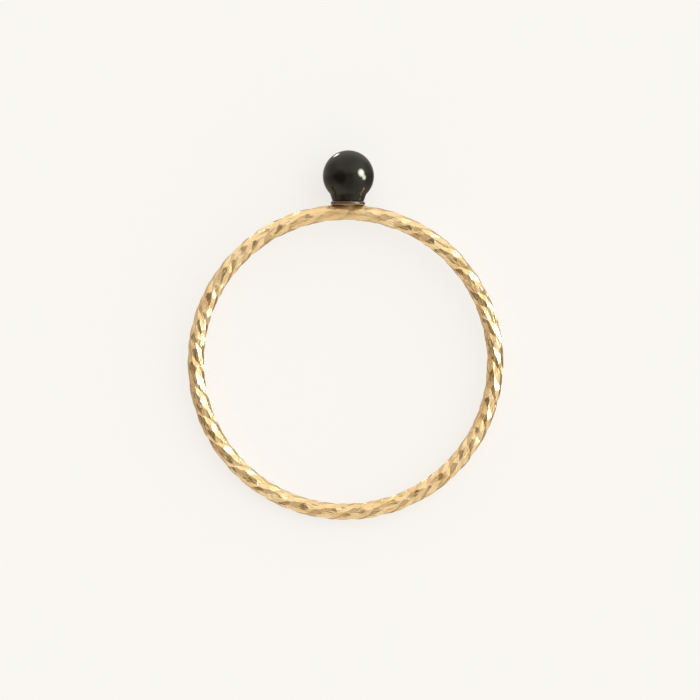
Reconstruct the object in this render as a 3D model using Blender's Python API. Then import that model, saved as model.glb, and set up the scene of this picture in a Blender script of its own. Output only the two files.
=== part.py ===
"""A finger ring: a thin gold hoop of diamond-cut wire with a black ball standing on it.

The ring is built about the axis of its hoop, with the ball towards +Y, and is then laid on the floor. There it
rests as a real one does, on the ball and on the side of the wire that lies opposite. All sizes are in metres.
"""

import math

import bmesh
import bpy
from mathutils import Vector

# Hoop
FINGER_DIAMETER = 0.0166
WIRE_DIAMETER = 0.00094

# Facets: the wire turns and moves on evenly while a cutter strikes it, so the facets' corners lie on one long spiral.
# A facet's next neighbour in its row comes LONG_STEP strikes later, after LONG_TURNS turns of the wire less the
# row's own twist, and its neighbour in the next row comes SHORT_STEP strikes later.
FACET_PITCH = 0.000976
FACET_DEPTH = 0.00005
ROW_TWIST_TURNS = 0.0747
LONG_STEP = 9
LONG_TURNS = 4
SHORT_STEP = 2

# Seat and peg, soldered to the outside of the hoop
SEAT_DIAMETER = 0.0020
SEAT_RISE = 0.00016
SEAT_SINK = 0.00005
SEAT_EDGE = 0.00004
SOLDER_DIAMETER = 0.0009
PEG_DIAMETER = 0.0007
PEG_LENGTH = 0.0013
PEG_CHAMFER = 0.0001

# Bead: a ball on a short collar, drilled for the peg
BALL_DIAMETER = 0.0030
COLLAR_TOP_SHARE = 0.713  # of the ball's radius, where the collar leaves it
COLLAR_HEIGHT = 0.00043
COLLAR_FOOT_DIAMETER = 0.00186
BEAD_GAP = 0.00002
PEG_CLEARANCE = 0.00003
PEG_END_CLEARANCE = 0.00005

# Fineness of the turned pieces
TURNED_SIDES = 36
BALL_STEPS = 16
SHARP_ANGLE = math.radians(30)
MERGE_DISTANCE = 1e-7
STEEPEST_TILT = math.radians(45)
TILT_HALVINGS = 40

GOLD_COLOUR = (0.83, 0.58, 0.26, 1.0)
AGATE_COLOUR = (0.012, 0.012, 0.010, 1.0)

# Places that follow from the sizes, measured outwards from the hoop's centre
WIRE_RADIUS = WIRE_DIAMETER / 2
HOOP_RADIUS = FINGER_DIAMETER / 2 + WIRE_RADIUS
WIRE_TOP = HOOP_RADIUS + WIRE_RADIUS
SEAT_TOP = WIRE_TOP + SEAT_RISE
BALL_RADIUS = BALL_DIAMETER / 2
COLLAR_FOOT_DEPTH = BALL_RADIUS * math.sqrt(1 - COLLAR_TOP_SHARE ** 2) + COLLAR_HEIGHT  # below the ball's centre
BALL_CENTRE = SEAT_TOP + BEAD_GAP + COLLAR_FOOT_DEPTH


def clear_scene():
    for thing in list(bpy.data.objects):
        bpy.data.objects.remove(thing)


def metal_or_stone(name, colour, metallic, roughness):
    """A Principled material of one colour."""
    material = bpy.data.materials.new(name)
    material.use_nodes = True
    shader = material.node_tree.nodes["Principled BSDF"]
    shader.inputs["Base Color"].default_value = colour
    shader.inputs["Metallic"].default_value = metallic
    shader.inputs["Roughness"].default_value = roughness
    return material


def new_object(name, bm, material=None):
    """An object made from a bmesh, which it frees."""
    mesh = bpy.data.meshes.new(name)
    bm.to_mesh(mesh)
    bm.free()
    thing = bpy.data.objects.new(name, mesh)
    if material:
        mesh.materials.append(material)
    bpy.context.collection.objects.link(thing)
    return thing


def wire_point(along, around, radius):
    """A point near the wire's axis: both angles are in turns, clockwise along the hoop from its left side, and
    around the wire from its front, +Z, towards the hoop's outside."""
    reach = HOOP_RADIUS + radius * math.sin(math.tau * around)
    return Vector((
        -reach * math.cos(math.tau * along),
        reach * math.sin(math.tau * along),
        radius * math.cos(math.tau * around),
    ))


def faceted_hoop(material):
    """The hoop of wire, with one facet for each strike: four corners on the round wire and a lower middle."""
    strikes = round(math.tau * HOOP_RADIUS * LONG_STEP / FACET_PITCH)
    turns = round(strikes * (LONG_TURNS - ROW_TWIST_TURNS) / LONG_STEP)

    def on_spiral(strike, radius):
        return wire_point(strike / strikes, -strike * turns / strikes, radius)

    middle_step = (LONG_STEP + SHORT_STEP) / 2
    middle_turn = (LONG_TURNS + 1) / 2  # half of the whole turns that both steps take, the short one's being 1
    bm = bmesh.new()
    corners = [bm.verts.new(on_spiral(strike, WIRE_RADIUS)) for strike in range(strikes)]
    for strike in range(strikes):
        along = (strike + middle_step) / strikes
        around = -(strike + middle_step) * turns / strikes + middle_turn
        middle = bm.verts.new(wire_point(along, around, WIRE_RADIUS - FACET_DEPTH))
        steps = (0, LONG_STEP, LONG_STEP + SHORT_STEP, SHORT_STEP)
        outline = [corners[(strike + step) % strikes] for step in steps]
        for first, second in zip(outline, outline[1:] + outline[:1]):
            bm.faces.new((first, second, middle))
    return new_object("band", bm, material)


def turned_solid(name, profile, material=None):
    """A solid turned about its own Z from (radius, height) points that start and end on the axis."""
    bm = bmesh.new()
    points = [bm.verts.new((radius, 0, height)) for radius, height in profile]
    edges = [bm.edges.new(pair) for pair in zip(points, points[1:])]
    bmesh.ops.spin(
        bm,
        geom=points + edges,
        cent=(0, 0, 0),
        axis=(0, 0, 1),
        angle=math.tau,
        steps=TURNED_SIDES,
        use_merge=True,
    )
    bmesh.ops.remove_doubles(bm, verts=bm.verts, dist=MERGE_DISTANCE)
    bmesh.ops.recalc_face_normals(bm, faces=bm.faces)
    return new_object(name, bm, material)


def stand_on_hoop(thing):
    """Turns a piece's own Z towards the hoop's outside at the ball, which is +Y."""
    thing.rotation_euler.x = -math.pi / 2


def seat_and_peg():
    """The round seat with its peg above and the solder below that roots it in the wire, heights from the hoop's
    centre."""
    seat = SEAT_DIAMETER / 2
    peg = PEG_DIAMETER / 2
    underside = WIRE_TOP - SEAT_SINK
    peg_end = SEAT_TOP + PEG_LENGTH
    profile = [
        (0, HOOP_RADIUS),
        (SOLDER_DIAMETER / 2, underside),
        (seat - SEAT_EDGE, underside),
        (seat, underside + SEAT_EDGE),
        (seat, SEAT_TOP - SEAT_EDGE),
        (seat - SEAT_EDGE, SEAT_TOP),
        (peg, SEAT_TOP),
        (peg, peg_end - PEG_CHAMFER),
        (peg - PEG_CHAMFER, peg_end),
        (0, peg_end),
    ]
    tool = turned_solid("seat_tool", profile)
    stand_on_hoop(tool)
    tool.hide_render = True
    tool.display_type = "WIRE"
    return tool


def solder(hoop, seat):
    """Joins the seat to the hoop as one solid."""
    joint = hoop.modifiers.new("solder", "BOOLEAN")
    joint.operation = "UNION"
    joint.solver = "EXACT"
    joint.object = seat


def drilled_bead(material):
    """The ball and its collar in one, with a blind hole that clears the peg, heights from the ball's centre."""
    foot = -COLLAR_FOOT_DEPTH
    hole = PEG_DIAMETER / 2 + PEG_CLEARANCE
    hole_end = SEAT_TOP + PEG_LENGTH + PEG_END_CLEARANCE - BALL_CENTRE
    sweep = math.pi - math.asin(COLLAR_TOP_SHARE)
    angles = [sweep * step / BALL_STEPS for step in range(BALL_STEPS + 1)]
    ball = [(BALL_RADIUS * math.sin(angle), BALL_RADIUS * math.cos(angle)) for angle in angles]
    profile = ball + [(COLLAR_FOOT_DIAMETER / 2, foot), (hole, foot), (hole, hole_end), (0, hole_end)]
    bead = turned_solid("bead", profile, material)
    bead.data.shade_smooth()
    bead.data.set_sharp_from_angle(angle=SHARP_ANGLE)
    stand_on_hoop(bead)
    bead.location.y = BALL_CENTRE
    return bead


def points_about_hoop(thing):
    """The corners of a piece's own mesh, before it has a parent."""
    bpy.context.view_layer.update()
    return [thing.matrix_world @ corner.co for corner in thing.data.vertices]


def tilted(point, tilt):
    """A point after the hoop turns about X, which lifts the ball's side."""
    height = point.y * math.sin(tilt) + point.z * math.cos(tilt)
    depth = point.y * math.cos(tilt) - point.z * math.sin(tilt)
    return Vector((point.x, depth, height))


def resting_tilt(points):
    """The tilt at which the ball's half and the opposite half of the ring reach equally low."""
    near = [point for point in points if point.y > 0]
    far = [point for point in points if point.y <= 0]
    flat, steep = 0.0, STEEPEST_TILT
    for _ in range(TILT_HALVINGS):
        tilt = (flat + steep) / 2
        if min(tilted(point, tilt).z for point in near) < min(tilted(point, tilt).z for point in far):
            flat = tilt
        else:
            steep = tilt
    return (flat + steep) / 2


def lay_down(pieces):
    """Puts the pieces under one empty that rests on the floor, with its box centred over the origin."""
    points = [point for piece in pieces for point in points_about_hoop(piece)]
    tilt = resting_tilt(points)
    resting = [tilted(point, tilt) for point in points]
    ring = bpy.data.objects.new("ring", None)
    bpy.context.collection.objects.link(ring)
    ring.rotation_euler.x = tilt
    ring.location.x = -(min(point.x for point in resting) + max(point.x for point in resting)) / 2
    ring.location.y = -(min(point.y for point in resting) + max(point.y for point in resting)) / 2
    ring.location.z = -min(point.z for point in resting)
    for piece in pieces:
        piece.parent = ring


def build():
    clear_scene()
    gold = metal_or_stone("gold", GOLD_COLOUR, metallic=1.0, roughness=0.2)
    agate = metal_or_stone("agate", AGATE_COLOUR, metallic=0.0, roughness=0.08)
    band = faceted_hoop(gold)
    seat = seat_and_peg()
    solder(band, seat)
    bead = drilled_bead(agate)
    lay_down((band, bead, seat))


build()
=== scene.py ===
"""The looks of the ring: cut facets on the gold wire, the seat with painted shade, the black ball, light and
camera.

The ring lies on a pale floor. Most places are given about its hoop: +X across, +Y towards the ball and +Z
along the hoop's axis, from the hoop's centre. All sizes are in metres.
"""

import math
import random

import bmesh
import bpy
from mathutils import Matrix, Vector

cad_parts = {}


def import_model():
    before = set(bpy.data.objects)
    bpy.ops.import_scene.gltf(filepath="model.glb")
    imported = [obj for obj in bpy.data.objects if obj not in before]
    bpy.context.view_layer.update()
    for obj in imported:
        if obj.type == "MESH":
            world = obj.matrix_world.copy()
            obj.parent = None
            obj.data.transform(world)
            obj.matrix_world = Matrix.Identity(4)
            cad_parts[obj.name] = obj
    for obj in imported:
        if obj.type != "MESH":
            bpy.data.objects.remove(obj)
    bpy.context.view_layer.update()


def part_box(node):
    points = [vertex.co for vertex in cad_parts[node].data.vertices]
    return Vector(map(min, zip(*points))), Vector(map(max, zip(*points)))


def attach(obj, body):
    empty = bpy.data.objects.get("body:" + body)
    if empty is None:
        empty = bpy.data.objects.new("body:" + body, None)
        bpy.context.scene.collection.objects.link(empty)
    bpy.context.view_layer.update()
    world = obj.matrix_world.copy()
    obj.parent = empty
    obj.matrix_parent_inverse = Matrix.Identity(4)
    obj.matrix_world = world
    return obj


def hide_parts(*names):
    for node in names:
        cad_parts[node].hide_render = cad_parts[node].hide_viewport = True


# Sizes shared with the CAD part
WIRE_RADIUS = 0.00047
HOOP_RADIUS = 0.0083 + WIRE_RADIUS
WIRE_TOP = HOOP_RADIUS + WIRE_RADIUS
SEAT_RADIUS = 0.0010
SEAT_RISE = 0.00016
SEAT_SINK = 0.00005
SEAT_TOP = WIRE_TOP + SEAT_RISE
SEAT_UNDERSIDE = WIRE_TOP - SEAT_SINK
SOLDER_RADIUS = 0.00045
PEG_RADIUS = 0.00035
PEG_LENGTH = 0.0013
PEG_CHAMFER = 0.0001
BALL_RADIUS = 0.0015
COLLAR_TOP_SHARE = 0.713
COLLAR_HEIGHT = 0.00043
COLLAR_FOOT_RADIUS = 0.00093
COLLAR_FOOT_DEPTH = BALL_RADIUS * math.sqrt(1 - COLLAR_TOP_SHARE ** 2) + COLLAR_HEIGHT
BEAD_GAP = 0.00002
BALL_CENTRE = SEAT_TOP + BEAD_GAP + COLLAR_FOOT_DEPTH
PEG_CLEARANCE = 0.00003
PEG_END_CLEARANCE = 0.00005
HOLE_RADIUS = PEG_RADIUS + PEG_CLEARANCE
HOLE_END = SEAT_TOP + PEG_LENGTH + PEG_END_CLEARANCE - BALL_CENTRE

# Finer forms of the turned pieces
SEAT_EDGE = 0.00007
SOLDER_LOW_SHARE = 0.6  # of the solder's radius, low on its slope
SOLDER_LOW_RISE = 0.00026
COLLAR_EDGE = 0.00003
COLLAR_PINCH = 0.00001
COLLAR_STEPS = 4
EDGE_STEPS = 6
SEAT_SIDES = 72
BALL_SIDES = 128
BALL_STEPS = 72
SEAT_SHARP_ANGLE = math.radians(35)
BALL_SHARP_ANGLE = math.radians(50)

# The spiral of V-shaped cuts round the wire
HOOP_LENGTH = math.tau * HOOP_RADIUS
WIRE_GIRTH = math.tau * WIRE_RADIUS
CUT_PITCH = 0.000976
ROW_TWIST_TURNS = 0.0747
LONG_STEP = 9
LONG_TURNS = 4
CUT_SEED = 7
CUT_SLANT = math.radians(43)
CUT_SLANT_JITTER = math.radians(7)
CUT_DEPTH = 0.000058
CUT_DEPTH_JITTER = 0.000006
CUT_REACH = 4 * CUT_PITCH
CUTTER_RADIUS = 0.007
FLANK_SLOPE = 0.18
FLANK_SLOPE_JITTER = 0.045
CUT_TILT_JITTER = 0.045
CUT_RADIUS = WIRE_RADIUS - CUT_DEPTH
UNCUT_RADIUS = WIRE_RADIUS + 0.000012
NEIGHBOURS = 40
HEIGHT_TOLERANCE = 1e-12

# The wire's mesh
RING_SHARES = (0.5, 1.0)
EDGE_STEP = 0.0001
JOIN_DISTANCE = 3e-8
CELL_SIZE = 0.00025
CELL_COLUMNS = round(HOOP_LENGTH / CELL_SIZE)
CELL_ROWS = round(WIRE_GIRTH / CELL_SIZE)
UNROLLED_SCALE = 0.001

# The smoother, duller stretch under the ball, where the hoop was soldered
SMOOTH_HALF_LENGTH = 0.0016
SMOOTH_FADE = 0.0014
SMOOTH_SHARE = 0.5
SMOOTH_RADIUS = 0.93 * WIRE_RADIUS
DULL_NEAR = 0.0008
DULL_FAR = 0.0032
DULL_ROUGHNESS = 0.26

# Colours, each from dark to light
GOLD = ((0.94, 0.65, 0.32), (1.0, 0.76, 0.43))
SOLDER = ((0.26, 0.20, 0.13), (0.48, 0.38, 0.25))
# The seat's rim and top: dark brown painted shade and painted reflection of the black ball above it
PAINTED_SHADE = ((0.06, 0.034, 0.022), (0.17, 0.10, 0.06))
AGATE = ((0.002, 0.002, 0.0006), (0.006, 0.006, 0.0012))
ROOM_TINT = ((1.0, 0.86, 0.72), (1.0, 0.99, 0.96))
FLOOR_COLOUR = (0.30, 0.295, 0.285)
FLOOR_GLOW_COLOUR = (1.0, 0.985, 0.955)
FLOOR_GLOW = 0.715

# The photograph's frame, in its own pixels
PHOTO_SIDE = 700
PIXELS_PER_METRE = 17070
HOOP_CENTRE_PIXEL = (345.4, 361.95)
BALL_LEAN = math.radians(0.92)
CAMERA_DISTANCE = 0.26
CAMERA_CLIP = 0.001
SENSOR = 36.0

FLOOR_SIDE = 3.0

# The room as the ball mirrors it. Each part has a direction, the two closenesses to it, as cosines, between
# which the part fades in, and its values before and after. A shade's values are shares of the brightness.
ROOM_TOP = ((-0.09, 1.0, 0.0), 0.0, 0.22, 0.55, 1.0)
ROOM_CORNER = ((0.9, -0.42, 0.1), 0.4, 1.0, 0.0, 0.35)
ROOM_BOTTOM = ((-0.5, -0.75, -0.43), 0.25, 0.9, 0.0, 0.35)
ROOM_WINDOW = ((0.82, 0.24, 0.53), 0.6, 0.98, 0.0, 0.4)
ROOM_SHADES = (
    ((-0.62, -0.16, 0.77), 0.77, 0.97, 1.0, 0.36),
    ((0.1, 0.1, 1.0), 0.96, 0.99, 1.0, 0.82),
    ((-0.99, 0.1, -0.1), 0.6, 0.95, 1.0, 0.62),
    ((0.93, 0.1, -0.33), 0.72, 0.96, 1.0, 0.5),
    ((0.0, 0.0, -1.0), 0.3, 0.9, 1.0, 0.5),
)

# Soft lamps, seen as reflections only: azimuth in the picture, angle off the view's axis, width and height in
# degrees, and brightness
LAMPS = (
    ("window", 14, 62, 34, 36, 28.0),
    ("window_tail", -4, 76, 20, 24, 19.0),
    ("back_glint", 119, 136, 12, 14, 12.0),
)
LAMP_DISTANCE = 0.6
LAMP_STEPS = (1.0, 0.85, 0.7, 0.55)
LAMP_STEP_GAP = 0.01
METAL_LAMP_SHARE = 0.32  # of the lamps' brightness, as the metal sees them


# Mesh helpers

def add_object(name, bm, matrix, smooth_angle=None):
    """An object from a bmesh given about the hoop, with its place put into the mesh."""
    bm.transform(matrix)
    mesh = bpy.data.meshes.new(name)
    bm.to_mesh(mesh)
    bm.free()
    thing = bpy.data.objects.new(name, mesh)
    bpy.context.collection.objects.link(thing)
    if smooth_angle is not None:
        mesh.shade_smooth()
        mesh.set_sharp_from_angle(angle=smooth_angle)
    return thing


def sides_of(points):
    """The pairs of neighbours in a closed row of points."""
    return zip(points, points[1:] + points[:1])


def turned(profile, sides):
    """A bmesh turned about +Y from (radius, height) points; points on the axis close it."""
    bm = bmesh.new()
    rings = []
    turn = math.tau / sides
    for radius, height in profile:
        if radius == 0:
            rings.append([bm.verts.new((0, height, 0))])
            continue
        rings.append([
            bm.verts.new((radius * math.sin(side * turn), height, radius * math.cos(side * turn)))
            for side in range(sides)
        ])
    for lower, upper in zip(rings, rings[1:]):
        for side in range(sides):
            after = (side + 1) % sides
            corners = [
                lower[side % len(lower)], lower[after % len(lower)],
                upper[after % len(upper)], upper[side % len(upper)],
            ]
            bm.faces.new(list(dict.fromkeys(corners)))
    bmesh.ops.recalc_face_normals(bm, faces=bm.faces)
    return bm


def arc(centre, radius, start, end, steps):
    """(radius, height) points on an arc, angles in degrees from straight up towards the outside."""
    points = []
    for step in range(steps + 1):
        angle = math.radians(start + (end - start) * step / steps)
        points.append((centre[0] + radius * math.sin(angle), centre[1] + radius * math.cos(angle)))
    return points


# The place of the hoop, read from the frame

def hoop_matrix():
    """From places about the hoop to the row's frame: ball and far side of the wire rest on the floor."""
    bead_low, bead_high = (Vector(corner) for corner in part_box("bead"))
    band_low, _ = (Vector(corner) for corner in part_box("band"))
    ball = Vector((0, bead_high.y - BALL_RADIUS, bead_low.z + BALL_RADIUS))
    far = Vector((0, band_low.y + WIRE_RADIUS, band_low.z + WIRE_RADIUS))
    outward = (ball - far).normalized()
    across = Vector((1, 0, 0))
    turn = Matrix((across, outward, across.cross(outward))).transposed().to_4x4()
    return Matrix.Translation(far + outward * HOOP_RADIUS) @ turn


# The cuts on the unrolled wire, whose places are along the hoop and around the wire

def wrapped(value, span):
    """The value brought within half a span of 0."""
    return (value + span / 2) % span - span / 2


def cut_sites(rng):
    """Each V-shaped cut's place and direction, with its own depth, slopes and tilts."""
    count = round(HOOP_LENGTH * LONG_STEP / CUT_PITCH)
    turns = round(count * (LONG_TURNS - ROW_TWIST_TURNS) / LONG_STEP)
    sites = []
    for cut in range(count):
        slant = rng.gauss(CUT_SLANT, CUT_SLANT_JITTER)
        sites.append({
            "along": cut / count * HOOP_LENGTH,
            "around": -cut * turns / count % 1 * WIRE_GIRTH,
            "sine": math.sin(slant),
            "cosine": math.cos(slant),
            "depth": CUT_DEPTH + rng.gauss(0, CUT_DEPTH_JITTER),
            "slopes": {side: side * rng.gauss(FLANK_SLOPE, FLANK_SLOPE_JITTER) for side in (1, -1)},
            "tilt_along": rng.gauss(0, CUT_TILT_JITTER),
            "tilt_around": rng.gauss(0, CUT_TILT_JITTER),
        })
    return sites


def across_cut(site, along, around):
    """How far an offset from the cut's middle lies to the side of the cut's valley."""
    return around * site["cosine"] - along * site["sine"]


def flank_radius(site, side, along, around):
    """The wire's radius on one flank of a cut, or on that flank carried on, at an offset from its middle."""
    bend = around * around / (2 * CUT_RADIUS) + along * along / (2 * CUTTER_RADIUS)
    tilts = site["tilt_along"] * along + site["tilt_around"] * around
    slope = site["slopes"][side] * across_cut(site, along, around)
    return WIRE_RADIUS - site["depth"] + bend + tilts + slope


def height_over(site, side, other, other_side, away, turn):
    """How far one flank is above a flank of another cut, as a function of a point. It is linear, because the
    two flanks have the same bends."""
    def height(point):
        mine = flank_radius(site, side, point[0], point[1])
        return mine - flank_radius(other, other_side, point[0] - away, point[1] - turn)
    return height


def clip(polygon, value, sign=1):
    """The part of a polygon of (along, around) points where a linear value times the sign isn't positive."""
    kept = []
    for first, second in sides_of(polygon):
        a, b = sign * value(first), sign * value(second)
        if a <= 0:
            kept.append(first)
        if (a < 0 < b) or (b < 0 < a):
            share = a / (a - b)
            kept.append((
                first[0] + (second[0] - first[0]) * share,
                first[1] + (second[1] - first[1]) * share,
            ))
    return kept


def nearest_first(sites):
    """The steps from one cut to its neighbours, the same for every cut, with where they lead."""
    steps = []
    for step in range(-NEIGHBOURS, NEIGHBOURS + 1):
        away = wrapped(sites[step]["along"] - sites[0]["along"], HOOP_LENGTH)
        turn = wrapped(sites[step]["around"] - sites[0]["around"], WIRE_GIRTH)
        steps.append((math.hypot(away, turn), step, away, turn))
    return [entry[1:] for entry in sorted(steps)[1:]]


def flank_outlines(sites, index, side, steps):
    """Convex polygons, as offsets from the cut's middle, of what a flank's neighbours leave of it. A
    neighbour takes away only what lies above both of its flanks."""
    site = sites[index]
    reach = CUT_REACH
    square = [(-reach, -reach), (reach, -reach), (reach, reach), (-reach, reach)]
    outlines = [clip(square, lambda point: across_cut(site, *point), -side)]
    for step, away, turn in steps:
        other = sites[(index + step) % len(sites)]
        over_first = height_over(site, side, other, 1, away, turn)
        over_second = height_over(site, side, other, -1, away, turn)
        kept = []
        for outline in outlines:
            rest = clip(outline, over_first, -1)
            if all(over_second(point) <= HEIGHT_TOLERANCE for point in rest):
                kept.append(outline)
            else:
                kept += [clip(outline, over_first), clip(rest, over_second)]
        outlines = [outline for outline in kept if len(outline) > 2]
    return outlines


# The cut wire's mesh

class Corners:
    """The corners of all flanks on the unrolled wire. Corners that meet have one number."""

    def __init__(self):
        self.places = []
        self.cells = {}

    def cell(self, along, around):
        column = int(along % HOOP_LENGTH / HOOP_LENGTH * CELL_COLUMNS) % CELL_COLUMNS
        row = int(around % WIRE_GIRTH / WIRE_GIRTH * CELL_ROWS) % CELL_ROWS
        return column, row

    def nearby(self, along, around):
        """The numbered corners in the cells about a place, with their offsets from it."""
        column, row = self.cell(along, around)
        for beside in (-1, 0, 1):
            for above in (-1, 0, 1):
                cell = ((column + beside) % CELL_COLUMNS, (row + above) % CELL_ROWS)
                for number in self.cells.get(cell, ()):
                    away = wrapped(self.places[number][0] - along, HOOP_LENGTH)
                    turn = wrapped(self.places[number][1] - around, WIRE_GIRTH)
                    yield number, away, turn

    def numbered(self, site, x, y):
        """The (number, x, y) corner at an offset from a cut's middle, or the known one that it meets."""
        along, around = site["along"] + x, site["around"] + y
        for number, away, turn in self.nearby(along, around):
            if math.hypot(away, turn) < JOIN_DISTANCE:
                return number, x + away, y + turn
        self.cells.setdefault(self.cell(along, around), []).append(len(self.places))
        self.places.append((along, around))
        return len(self.places) - 1, x, y

    def on_side(self, site, first, second):
        """The other corners that lie on a side, in order."""
        span = math.dist(first[1:], second[1:])
        run, rise = (second[1] - first[1]) / span, (second[2] - first[2]) / span
        samples = math.ceil(span / CELL_SIZE)
        found = {}
        for sample in range(samples + 1):
            gone = span * sample / samples
            x, y = first[1] + run * gone, first[2] + rise * gone
            for number, away, turn in self.nearby(site["along"] + x, site["around"] + y):
                ahead = gone + away * run + turn * rise
                aside = away * rise - turn * run
                inside = number not in (first[0], second[0]) and 0 < ahead < span
                if inside and abs(aside) < JOIN_DISTANCE:
                    found[number] = (ahead, number, x + away, y + turn)
        return [corner[1:] for corner in sorted(found.values())]


def meeting_rims(flanks):
    """The flanks with rims of (number, x, y) corners. A corner on a neighbour's side is part of that side
    too, so that the mesh closes."""
    corners = Corners()
    rimmed = []
    for site, side, outline in flanks:
        rim = {}
        for x, y in outline:
            corner = corners.numbered(site, x, y)
            rim.setdefault(corner[0], corner)
        if len(rim) > 2:
            rimmed.append((site, side, list(rim.values())))
    closed = []
    for site, side, rim in rimmed:
        full = []
        for first, second in sides_of(rim):
            full += [first, *corners.on_side(site, first, second)]
        if len({corner[0] for corner in full}) == len(full):
            closed.append((site, side, full))
    return closed


def divided(rim):
    """(key, x, y) points along a rim with its longer sides divided, so that it follows the wire's curve.
    Flanks that meet give the same keys to the points that they share."""
    points = []
    for first, second in sides_of(rim):
        pieces = max(1, round(math.dist(first[1:], second[1:]) / EDGE_STEP))
        for piece in range(pieces):
            share = piece / pieces
            if piece == 0:
                key = (first[0],)
            elif first[0] < second[0]:
                key = (first[0], second[0], piece)
            else:
                key = (second[0], first[0], pieces - piece)
            x = first[1] + (second[1] - first[1]) * share
            y = first[2] + (second[2] - first[2]) * share
            points.append((key, x, y))
    return points


def rings_in(rim):
    """A rim's middle and then its rings, as lists of (x, y) points."""
    x_mean = sum(x for _, x, _ in rim) / len(rim)
    y_mean = sum(y for _, _, y in rim) / len(rim)
    rings = [[(x_mean, y_mean)]]
    for share in RING_SHARES:
        rings.append([(x_mean + (x - x_mean) * share, y_mean + (y - y_mean) * share) for _, x, y in rim])
    return rings


def smooth_share(along):
    """How far the facets are softened at a place along the hoop: most under the ball, fading out beside it."""
    from_ball = abs(wrapped(along - HOOP_LENGTH / 4, HOOP_LENGTH))
    share = (SMOOTH_HALF_LENGTH + SMOOTH_FADE - from_ball) / SMOOTH_FADE
    share = min(max(share, 0.0), 1.0)
    return SMOOTH_SHARE * share * share * (3 - 2 * share)


def rolled_up(along, around, radius):
    """The point about the hoop for a place on the unrolled wire, clockwise from the left and outwards."""
    turn = math.tau * along / HOOP_LENGTH
    section = math.tau * around / WIRE_GIRTH
    reach = HOOP_RADIUS + radius * math.sin(section)
    return Vector((-reach * math.cos(turn), reach * math.sin(turn), radius * math.cos(section)))


def flank_point(site, side, x, y):
    """The point about the hoop on a flank, at an offset from its cut's middle."""
    along, around = site["along"] + x, site["around"] + y
    smooth = smooth_share(along)
    radius = min(flank_radius(site, side, x, y), UNCUT_RADIUS)
    return rolled_up(along, around, radius * (1 - smooth) + SMOOTH_RADIUS * smooth)


def cut_wire(matrix):
    """The hoop of wire with every cut as two flanks that meet in a valley, all edges crisp."""
    sites = cut_sites(random.Random(CUT_SEED))
    steps = nearest_first(sites)
    flanks = [
        (site, side, outline)
        for index, site in enumerate(sites)
        for side in (1, -1)
        for outline in flank_outlines(sites, index, side, steps)
    ]
    bm = bmesh.new()
    unrolled = bm.loops.layers.uv.new("unrolled")
    rim_corners = {}

    def add_face(site, rings, corners, places):
        """A face between (ring, place in it) corners, whose texture follows the unrolled wire."""
        face = bm.faces.new([corners[ring][at] for ring, at in places])
        face.smooth = True
        for loop, (ring, at) in zip(face.loops, places):
            x, y = rings[ring][at]
            loop[unrolled].uv = (
                (site["along"] + x) / UNROLLED_SCALE,
                (site["around"] + y) / UNROLLED_SCALE,
            )

    def add_flank(site, side, rim):
        """One flank's faces, in rings from its middle to its rim, which it shares with its neighbours."""
        rings = rings_in(rim)
        corners = [[bm.verts.new(flank_point(site, side, x, y)) for x, y in ring] for ring in rings[:-1]]
        for key, x, y in rim:
            if key not in rim_corners:
                rim_corners[key] = bm.verts.new(flank_point(site, side, x, y))
        corners.append([rim_corners[key] for key, _, _ in rim])
        for at in range(len(rim)):
            after = (at + 1) % len(rim)
            add_face(site, rings, corners, [(0, 0), (1, at), (1, after)])
            for outer in range(2, len(rings)):
                inner = outer - 1
                add_face(site, rings, corners, [(inner, at), (outer, at), (outer, after), (inner, after)])
            bm.edges.get((corners[-1][at], corners[-1][after])).smooth = False

    for site, side, rim in meeting_rims(flanks):
        add_flank(site, side, divided(rim))
    return add_object("wire", bm, matrix)


# The turned pieces

def seat_with_peg(matrix):
    """The solder, the seat with a rounded rim and its peg. The second material, a dark brown painted shade and
    painted reflection of the ball, starts at the rim.
    """
    middle = SEAT_RADIUS - SEAT_EDGE
    peg_end = SEAT_TOP + PEG_LENGTH
    profile = [
        (0, HOOP_RADIUS),
        (SOLDER_RADIUS * SOLDER_LOW_SHARE, HOOP_RADIUS + SOLDER_LOW_RISE),
        (SOLDER_RADIUS, SEAT_UNDERSIDE),
        *arc((middle, SEAT_UNDERSIDE + SEAT_EDGE), SEAT_EDGE, 180, 90, EDGE_STEPS),
        *arc((middle, SEAT_TOP - SEAT_EDGE), SEAT_EDGE, 90, 0, EDGE_STEPS),
        (PEG_RADIUS, SEAT_TOP),
        (PEG_RADIUS, peg_end - PEG_CHAMFER),
        (PEG_RADIUS - PEG_CHAMFER, peg_end),
        (0, peg_end),
    ]
    bm = turned(profile, SEAT_SIDES)
    # Faces above the seat's underside get the dark brown painted shade of the ball
    for face in bm.faces:
        if face.calc_center_median().y > SEAT_UNDERSIDE + SEAT_EDGE / 2:
            face.material_index = 1
    return add_object("seat", bm, matrix, SEAT_SHARP_ANGLE)


def ball_with_collar(matrix):
    """The ball, its short tapering collar, a little pinched, and the blind hole for the peg."""
    sweep = 180 - math.degrees(math.asin(COLLAR_TOP_SHARE))
    foot = -COLLAR_FOOT_DEPTH
    profile = arc((0, 0), BALL_RADIUS, 0, sweep, BALL_STEPS)
    profile[0] = (0, BALL_RADIUS)
    top_radius, top_height = profile[-1]
    for step in range(1, COLLAR_STEPS):
        share = step / COLLAR_STEPS
        pinch = COLLAR_PINCH * math.sin(share * math.pi)
        profile.append((
            top_radius + (COLLAR_FOOT_RADIUS - top_radius) * share - pinch,
            top_height + (foot - top_height) * share,
        ))
    profile += arc((COLLAR_FOOT_RADIUS - COLLAR_EDGE, foot + COLLAR_EDGE), COLLAR_EDGE, 90, 180, COLLAR_STEPS)
    profile += [(HOLE_RADIUS, foot), (HOLE_RADIUS, HOLE_END), (0, HOLE_END)]
    bm = turned(profile, BALL_SIDES)
    bmesh.ops.translate(bm, verts=bm.verts, vec=(0, BALL_CENTRE, 0))
    return add_object("ball", bm, matrix, BALL_SHARP_ANGLE)


# Node helpers

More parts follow.
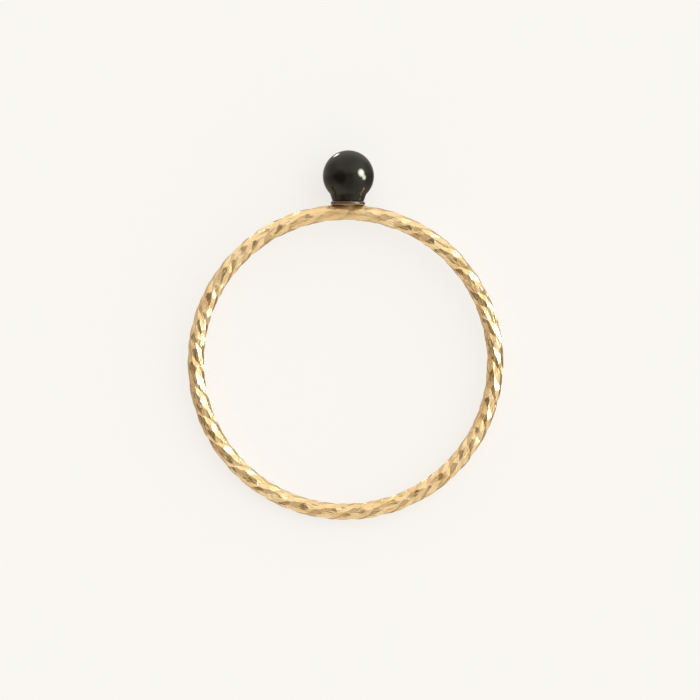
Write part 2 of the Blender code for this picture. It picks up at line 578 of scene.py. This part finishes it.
def noise(tree, vector, scale, detail):
    """The value of a noise texture."""
    texture = tree.nodes.new("ShaderNodeTexNoise")
    texture.inputs["Scale"].default_value = scale
    texture.inputs["Detail"].default_value = detail
    tree.links.new(vector, texture.inputs["Vector"])
    return texture.outputs["Fac"]


def lay(tree, vector, turn, scale):
    """A vector turned about Z and scaled, for streaks that lie in one direction."""
    mapping = tree.nodes.new("ShaderNodeMapping")
    mapping.inputs["Rotation"].default_value = (0, 0, turn)
    mapping.inputs["Scale"].default_value = scale
    tree.links.new(vector, mapping.inputs["Vector"])
    return mapping.outputs["Vector"]


def between(tree, value, colours, start=0.0, end=1.0):
    """A colour that goes from the first to the second as a value goes from start to end."""
    ramp = tree.nodes.new("ShaderNodeValToRGB")
    for element, position, colour in zip(ramp.color_ramp.elements, (start, end), colours):
        element.position = position
        element.color = (*colour, 1)
    tree.links.new(value, ramp.inputs["Fac"])
    return ramp.outputs["Color"]


def spread(tree, value, low, high, start=0.0, end=1.0, interpolation="LINEAR"):
    """A value that goes from low to high as another goes from start to end."""
    ramp = tree.nodes.new("ShaderNodeMapRange")
    ramp.interpolation_type = interpolation
    ramp.inputs["From Min"].default_value = start
    ramp.inputs["From Max"].default_value = end
    ramp.inputs["To Min"].default_value = low
    ramp.inputs["To Max"].default_value = high
    tree.links.new(value, ramp.inputs["Value"])
    return ramp.outputs["Result"]


def combined(tree, operation, first, second):
    """The sum, or another plain combination, of two values."""
    node = tree.nodes.new("ShaderNodeMath")
    node.operation = operation
    tree.links.new(first, node.inputs[0])
    tree.links.new(second, node.inputs[1])
    return node.outputs["Value"]


def vector_value(tree, operation, vector, other):
    """The distance, or another plain number, between a vector and a fixed one."""
    node = tree.nodes.new("ShaderNodeVectorMath")
    node.operation = operation
    node.inputs[1].default_value = other
    tree.links.new(vector, node.inputs[0])
    return node.outputs["Value"]


def bump(tree, height, strength, distance):
    """A bump node for a height."""
    node = tree.nodes.new("ShaderNodeBump")
    node.inputs["Strength"].default_value = strength
    node.inputs["Distance"].default_value = distance
    tree.links.new(height, node.inputs["Height"])
    return node


# Materials

def new_material(name):
    """A material with its node tree, its shader and the object's own coordinates."""
    material = bpy.data.materials.new(name)
    material.use_nodes = True
    tree = material.node_tree
    place = tree.nodes.new("ShaderNodeTexCoord").outputs["Object"]
    return material, tree, tree.nodes["Principled BSDF"], place


def gold_material(seat):
    """Bright cut gold: a little colour drift, fine cutter lines, waves in the facets and faint smears in its
    polish, which is duller by the seat."""
    material, tree, shader, place = new_material("bright_gold")
    shader.inputs["Metallic"].default_value = 1.0
    drift = noise(tree, place, scale=900, detail=3)
    tree.links.new(between(tree, drift, GOLD, 0.35, 0.65), shader.inputs["Base Color"])
    gloss = spread(tree, noise(tree, place, scale=2600, detail=5), 0.05, 0.20)
    from_seat = vector_value(tree, "DISTANCE", place, seat)
    dull = spread(tree, from_seat, DULL_ROUGHNESS, 0.0, DULL_NEAR, DULL_FAR, "SMOOTHSTEP")
    tree.links.new(combined(tree, "ADD", gloss, dull), shader.inputs["Roughness"])
    unrolled = tree.nodes.new("ShaderNodeUVMap")
    unrolled.uv_map = "unrolled"
    grain = lay(tree, unrolled.outputs["UV"], -CUT_SLANT, (1.2, 16, 1))
    lines = bump(tree, noise(tree, grain, scale=1, detail=4), strength=0.35, distance=0.00001)
    streaks = lay(tree, unrolled.outputs["UV"], -CUT_SLANT * 0.85, (1.3, 5.5, 1))
    waves = bump(tree, noise(tree, streaks, scale=1, detail=3), strength=1.0, distance=0.00006)
    tree.links.new(lines.outputs["Normal"], waves.inputs["Normal"])
    tree.links.new(waves.outputs["Normal"], shader.inputs["Normal"])
    return material


def solder_and_painted_shade_material(name, colours, metallic, coat, roughness):
    """Dull metal mottled between two colours, for the solder as soldering leaves it and for the seat's painted
    shade.
    """
    material, tree, shader, place = new_material(name)
    shader.inputs["Metallic"].default_value = metallic
    shader.inputs["Coat Weight"].default_value = coat
    shader.inputs["Coat Roughness"].default_value = 0.15
    mottle = noise(tree, place, scale=3500, detail=4)
    tree.links.new(between(tree, mottle, colours, 0.3, 0.75), shader.inputs["Base Color"])
    tree.links.new(spread(tree, mottle, roughness - 0.1, roughness + 0.1), shader.inputs["Roughness"])
    return material


def agate_material():
    """Polished black stone: near black with a faint warm clouding and tiny polishing marks."""
    material, tree, shader, place = new_material("black_agate")
    shader.inputs["IOR"].default_value = 1.54
    shader.inputs["Specular IOR Level"].default_value = 0.37
    shader.inputs["Specular Tint"].default_value = (1.0, 0.99, 0.84, 1)
    cloud = noise(tree, place, scale=1100, detail=4)
    tree.links.new(between(tree, cloud, AGATE), shader.inputs["Base Color"])
    tree.links.new(spread(tree, cloud, 0.05, 0.11), shader.inputs["Roughness"])
    return material


def floor_material():
    """A plain pale floor with a soft glow of its own."""
    material = bpy.data.materials.new("pale_floor")
    material.use_nodes = True
    shader = material.node_tree.nodes["Principled BSDF"]
    shader.inputs["Base Color"].default_value = (*FLOOR_COLOUR, 1)
    shader.inputs["Roughness"].default_value = 0.9
    shader.inputs["Specular IOR Level"].default_value = 0.1
    shader.inputs["Emission Color"].default_value = (*FLOOR_GLOW_COLOUR, 1)
    shader.inputs["Emission Strength"].default_value = FLOOR_GLOW
    return material


# Floor, light and camera

def view_direction(matrix, azimuth, off_axis):
    """A direction from the hoop, by its angle in the picture from the right and its angle off the axis."""
    turn, lean = math.radians(azimuth), math.radians(off_axis)
    about_hoop = Vector((math.sin(lean) * math.cos(turn), math.sin(lean) * math.sin(turn), math.cos(lean)))
    return matrix.to_3x3() @ about_hoop


def lit_group(name, pieces):
    """A collection of pieces that lamps can be kept to."""
    group = bpy.data.collections.new(name)
    for piece in pieces:
        group.objects.link(piece)
    return group


def add_lamp(name, matrix, azimuth, off_axis, width, height, brightness, group):
    """A lamp with soft edges that faces the hoop, made of discs on one another, for one group of pieces."""
    towards = view_direction(matrix, azimuth, off_axis)
    for share in LAMP_STEPS:
        light = bpy.data.lights.new(name, "AREA")
        light.shape = "ELLIPSE"
        light.size = 2 * LAMP_DISTANCE * math.tan(math.radians(width * share) / 2)
        light.size_y = 2 * LAMP_DISTANCE * math.tan(math.radians(height * share) / 2)
        light.energy = brightness / len(LAMP_STEPS) * math.pi * math.pi * light.size * light.size_y / 4
        thing = bpy.data.objects.new(name, light)
        thing.location = matrix.translation + towards * LAMP_DISTANCE * (1 + (1 - share) * LAMP_STEP_GAP)
        thing.rotation_euler = towards.to_track_quat("Z", "Y").to_euler()
        thing.visible_diffuse = False
        thing.light_linking.receiver_collection = group
        bpy.context.collection.objects.link(thing)


def add_lamps(matrix, stone, metal):
    """All lamps, once for the stone and once, dimmer, for the metal."""
    for group, share in ((lit_group("stone", stone), 1.0), (lit_group("metal", metal), METAL_LAMP_SHARE)):
        for name, azimuth, off_axis, width, height, brightness in LAMPS:
            add_lamp(name, matrix, azimuth, off_axis, width, height, brightness * share, group)


def world_light():
    """A room that is bright at the picture's top and at its window, and darker at its sides and behind."""
    world = bpy.data.worlds.new("room")
    bpy.context.scene.world = world
    world.use_nodes = True
    tree = world.node_tree
    place = tree.nodes.new("ShaderNodeTexCoord").outputs["Generated"]

    def part(direction, start, end, low, high):
        closeness = vector_value(tree, "DOT_PRODUCT", place, direction)
        return spread(tree, closeness, low, high, start, end, "SMOOTHSTEP")

    room = combined(tree, "ADD", part(*ROOM_TOP), part(*ROOM_CORNER))
    room = combined(tree, "ADD", room, part(*ROOM_BOTTOM))
    for shade in ROOM_SHADES:
        room = combined(tree, "MULTIPLY", room, part(*shade))
    room = combined(tree, "ADD", room, part(*ROOM_WINDOW))
    back = tree.nodes["Background"]
    tree.links.new(room, back.inputs["Strength"])
    tree.links.new(between(tree, room, ROOM_TINT, 0.2, 0.9), back.inputs["Color"])


def make_camera(matrix):
    """Looks along the hoop's axis, with the hoop where the photograph has it."""
    camera = bpy.data.cameras.new("camera")
    camera.sensor_width = SENSOR
    camera.lens = CAMERA_DISTANCE * SENSOR * PIXELS_PER_METRE / PHOTO_SIDE
    camera.clip_start = CAMERA_CLIP
    thing = bpy.data.objects.new("camera", camera)
    bpy.context.collection.objects.link(thing)
    turn = Matrix.Rotation(BALL_LEAN, 4, "Z")
    right = (PHOTO_SIDE / 2 - HOOP_CENTRE_PIXEL[0]) / PIXELS_PER_METRE
    up = (HOOP_CENTRE_PIXEL[1] - PHOTO_SIDE / 2) / PIXELS_PER_METRE
    thing.matrix_world = matrix @ turn @ Matrix.Translation((right, up, CAMERA_DISTANCE))
    bpy.context.scene.camera = thing


def make_floor():
    """The floor, which the ring doesn't mirror and which lets the light of the lowest lamp through."""
    bm = bmesh.new()
    bmesh.ops.create_grid(bm, x_segments=1, y_segments=1, size=FLOOR_SIDE / 2)
    thing = add_object("floor", bm, Matrix.Identity(4))
    thing.data.materials.append(floor_material())
    thing.visible_glossy = False
    thing.visible_shadow = False


def build():
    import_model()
    matrix = hoop_matrix()
    gold = gold_material(seat=matrix @ Vector((0, HOOP_RADIUS, 0)))
    solder = solder_and_painted_shade_material("solder", SOLDER, metallic=0.9, coat=0, roughness=0.5)
    # Dark brown painted shade and painted reflection of the black ball, on the seat's rim and top
    painted_shade = solder_and_painted_shade_material("gold_with_painted_shade", PAINTED_SHADE, metallic=0.5, coat=0.4, roughness=0.4)
    agate = agate_material()
    wire, seat, ball = cut_wire(matrix), seat_with_peg(matrix), ball_with_collar(matrix)
    for piece, node, slot, materials in (
        (wire, "band", "gold", [gold]),
        (seat, "band", "gold", [solder, painted_shade]),
        (ball, "bead", "agate", [agate]),
    ):
        for material in materials:
            piece.data.materials.append(material)
        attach(piece, "root")
        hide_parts(node)
    make_floor()
    world_light()
    add_lamps(matrix, stone=[ball], metal=[wire, seat])
    make_camera(matrix)
    bpy.context.scene.view_settings.view_transform = "Standard"


build()
